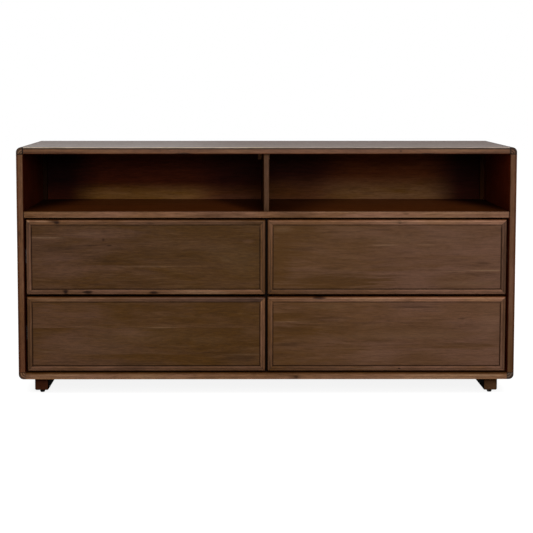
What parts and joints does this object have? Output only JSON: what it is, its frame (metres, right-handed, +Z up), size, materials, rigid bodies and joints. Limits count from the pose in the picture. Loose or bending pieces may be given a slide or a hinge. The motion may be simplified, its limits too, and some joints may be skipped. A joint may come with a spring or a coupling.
{
  "type": "low dresser",
  "caption": "Low wooden dresser: rounded box case with an open divided compartment over flush drawers with moulded frames and no handles, on floor runners with levelers.",
  "frame": {"origin": "on the floor, under the middle of the case", "axes": "+X to the right along the case, +Y from the front to the back, +Z up"},
  "size_m": [1.6, 0.45, 0.8],
  "materials": {
    "walnut_case": "dark walnut stain under a satin lacquer, open grain",
    "walnut_front": "dark walnut stain under a satin lacquer, grain along the drawer",
    "back_ply": "dark stained veneered plywood",
    "box_wood": "light brown hardwood under a clear matt lacquer",
    "box_ply": "clear lacquered plywood",
    "zinc_steel": "zinc plated",
    "black_steel": "black oxide",
    "black_plastic": "moulded black nylon"
  },
  "bodies": {
    "case": {"top_panel": "walnut_case", "bottom_panel": "walnut_case", "side_panel_left": "walnut_case", "side_panel_right": "walnut_case", "corner_post_top_left": "walnut_case", "corner_post_top_right": "walnut_case", "corner_post_bottom_left": "walnut_case", "corner_post_bottom_right": "walnut_case", "shelf": "walnut_case", "shelf_divider": "walnut_case", "drawer_partition": "walnut_case", "back_panel": "back_ply", "back_battens": "walnut_case", "divider_blocks": "walnut_case", "foot_runner_left": "walnut_case", "foot_runner_right": "walnut_case", "leveler_inserts": "zinc_steel", "runner_screws": "zinc_steel", "back_screws": "black_steel", "slide_outer_rails": "zinc_steel"},
    "lower_left_drawer": {"lower_left_front_panel": "walnut_front", "lower_left_front_moulding": "walnut_front", "lower_left_box_front": "box_wood", "lower_left_box_side_left": "box_wood", "lower_left_box_side_right": "box_wood", "lower_left_box_back": "box_wood", "lower_left_box_bottom": "box_ply", "lower_left_inner_rails": "zinc_steel"},
    "lower_left_middle_slides": {"lower_left_middle_rails": "zinc_steel"},
    "lower_right_drawer": {"lower_right_front_panel": "walnut_front", "lower_right_front_moulding": "walnut_front", "lower_right_box_front": "box_wood", "lower_right_box_side_left": "box_wood", "lower_right_box_side_right": "box_wood", "lower_right_box_back": "box_wood", "lower_right_box_bottom": "box_ply", "lower_right_inner_rails": "zinc_steel"},
    "lower_right_middle_slides": {"lower_right_middle_rails": "zinc_steel"},
    "upper_left_drawer": {"upper_left_front_panel": "walnut_front", "upper_left_front_moulding": "walnut_front", "upper_left_box_front": "box_wood", "upper_left_box_side_left": "box_wood", "upper_left_box_side_right": "box_wood", "upper_left_box_back": "box_wood", "upper_left_box_bottom": "box_ply", "upper_left_inner_rails": "zinc_steel"},
    "upper_left_middle_slides": {"upper_left_middle_rails": "zinc_steel"},
    "upper_right_drawer": {"upper_right_front_panel": "walnut_front", "upper_right_front_moulding": "walnut_front", "upper_right_box_front": "box_wood", "upper_right_box_side_left": "box_wood", "upper_right_box_side_right": "box_wood", "upper_right_box_back": "box_wood", "upper_right_box_bottom": "box_ply", "upper_right_inner_rails": "zinc_steel"},
    "upper_right_middle_slides": {"upper_right_middle_rails": "zinc_steel"},
    "leveler_front_left": {"leveler_front_left": "black_plastic"},
    "leveler_rear_left": {"leveler_rear_left": "black_plastic"},
    "leveler_front_right": {"leveler_front_right": "black_plastic"},
    "leveler_rear_right": {"leveler_rear_right": "black_plastic"}
  },
  "joints": [
    {"name": "lower_left_drawer_slide", "type": "slide", "parent": "case", "child": "lower_left_drawer", "axis": [0, -1, 0], "range_m": [0, 0.35]},
    {"name": "lower_left_middle_slide", "type": "slide", "parent": "case", "child": "lower_left_middle_slides", "axis": [0, -1, 0], "range_m": [0, 0.175]},
    {"name": "lower_right_drawer_slide", "type": "slide", "parent": "case", "child": "lower_right_drawer", "axis": [0, -1, 0], "range_m": [0, 0.35]},
    {"name": "lower_right_middle_slide", "type": "slide", "parent": "case", "child": "lower_right_middle_slides", "axis": [0, -1, 0], "range_m": [0, 0.175]},
    {"name": "upper_left_drawer_slide", "type": "slide", "parent": "case", "child": "upper_left_drawer", "axis": [0, -1, 0], "range_m": [0, 0.35]},
    {"name": "upper_left_middle_slide", "type": "slide", "parent": "case", "child": "upper_left_middle_slides", "axis": [0, -1, 0], "range_m": [0, 0.175]},
    {"name": "upper_right_drawer_slide", "type": "slide", "parent": "case", "child": "upper_right_drawer", "axis": [0, -1, 0], "range_m": [0, 0.35]},
    {"name": "upper_right_middle_slide", "type": "slide", "parent": "case", "child": "upper_right_middle_slides", "axis": [0, -1, 0], "range_m": [0, 0.175]},
    {"name": "leveler_front_left_turn", "type": "hinge", "parent": "case", "child": "leveler_front_left", "pos_m": [-0.729, -0.185, 0], "axis": [0, 0, 1], "continuous": true},
    {"name": "leveler_rear_left_turn", "type": "hinge", "parent": "case", "child": "leveler_rear_left", "pos_m": [-0.729, 0.185, 0], "axis": [0, 0, 1], "continuous": true},
    {"name": "leveler_front_right_turn", "type": "hinge", "parent": "case", "child": "leveler_front_right", "pos_m": [0.729, -0.185, 0], "axis": [0, 0, 1], "continuous": true},
    {"name": "leveler_rear_right_turn", "type": "hinge", "parent": "case", "child": "leveler_rear_right", "pos_m": [0.729, 0.185, 0], "axis": [0, 0, 1], "continuous": true}
  ],
  "couplings": [
    {"joint": "lower_left_middle_slide", "follows": "lower_left_drawer_slide", "ratio": 0.5},
    {"joint": "lower_right_middle_slide", "follows": "lower_right_drawer_slide", "ratio": 0.5},
    {"joint": "upper_left_middle_slide", "follows": "upper_left_drawer_slide", "ratio": 0.5},
    {"joint": "upper_right_middle_slide", "follows": "upper_right_drawer_slide", "ratio": 0.5}
  ]
}
